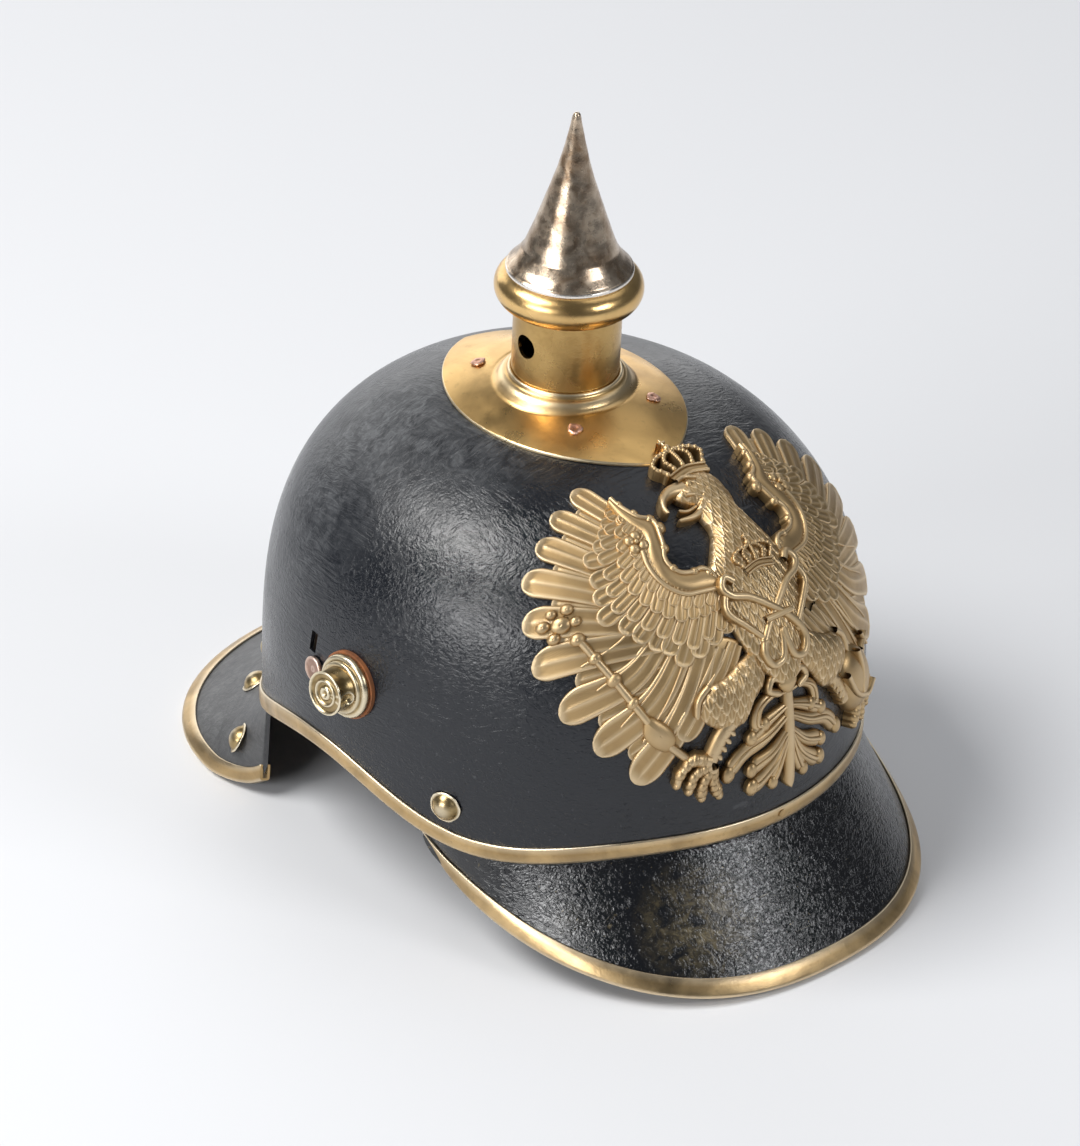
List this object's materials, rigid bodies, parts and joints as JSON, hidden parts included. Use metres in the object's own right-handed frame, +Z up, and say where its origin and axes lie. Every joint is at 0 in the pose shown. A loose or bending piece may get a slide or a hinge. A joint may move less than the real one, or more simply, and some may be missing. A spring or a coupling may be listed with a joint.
{
  "type": "spiked helmet",
  "caption": "Spiked cavalry helmet: black lacquered steel bowl with visor and neck guard, brass edges, leaf crown plate with neck and screwed steel spike, spread brass eagle",
  "frame": {"origin": "centre of the overall length and width, on the table under the visor's tip and the neck guard", "axes": "+Z up from the table, -Y towards the wearer's front (the visor), +X towards the wearer's left; the helmet leans forward 3.3 degrees on its rest"},
  "size_m": [0.2104, 0.2856, 0.2524],
  "materials": {
    "black_lacquer": "brushed black lacquer, scratched",
    "visor_lacquer": "glossy black lacquer, wrinkled",
    "band_brass": "golden brown, worn",
    "rivet_brass": "bright worn",
    "aged_brass": "olive, stained",
    "eagle_brass": "matt golden, bright on raised edges",
    "copper": "copper red, dimpled",
    "aged_steel": "tarnished steel",
    "rust_washer": "rusty",
    "liner_leather": "dark brown leather"
  },
  "bodies": {
    "helmet": {"skull": "black_lacquer", "edge_band": "band_brass", "band_pin": "band_brass", "visor": "visor_lacquer", "visor_trim": "band_brass", "neck_guard": "visor_lacquer", "neck_guard_trim": "band_brass", "visor_rivets": "rivet_brass", "visor_burrs": "rivet_brass", "rear_rivets": "rivet_brass", "rear_burrs": "rivet_brass", "guard_rivets": "rivet_brass", "guard_burrs": "rivet_brass", "crown_plate": "aged_brass", "plate_rivets": "copper", "spike_neck": "aged_brass", "bead_ring": "aged_brass", "neck_bush": "rivet_brass", "post_washers": "rust_washer", "post_bases": "rivet_brass", "post_drums": "rivet_brass", "post_nuts": "aged_steel", "side_studs": "copper", "liner_carrier": "aged_steel", "sweatband": "liner_leather", "liner_tongues": "liner_leather", "eagle_plate": "eagle_brass", "eagle_posts": "rivet_brass", "eagle_nuts": "rivet_brass"},
    "stem": {"spike_stem": "aged_steel"},
    "cone": {"spike": "aged_steel"}
  },
  "joints": [
    {"name": "spike_lift", "type": "slide", "parent": "helmet", "child": "stem", "axis": [0, -0.0576, 0.9983], "range_m": [0, 0.0105]},
    {"name": "spike_turn", "type": "hinge", "parent": "stem", "child": "cone", "pos_m": [0, -0.01147, 0.19785], "axis": [0, -0.0576, 0.9983], "range_deg": [0, 2520]}
  ],
  "couplings": [
    {"joint": "spike_turn", "follows": "spike_lift", "rad_per_m": 4188.8}
  ]
}
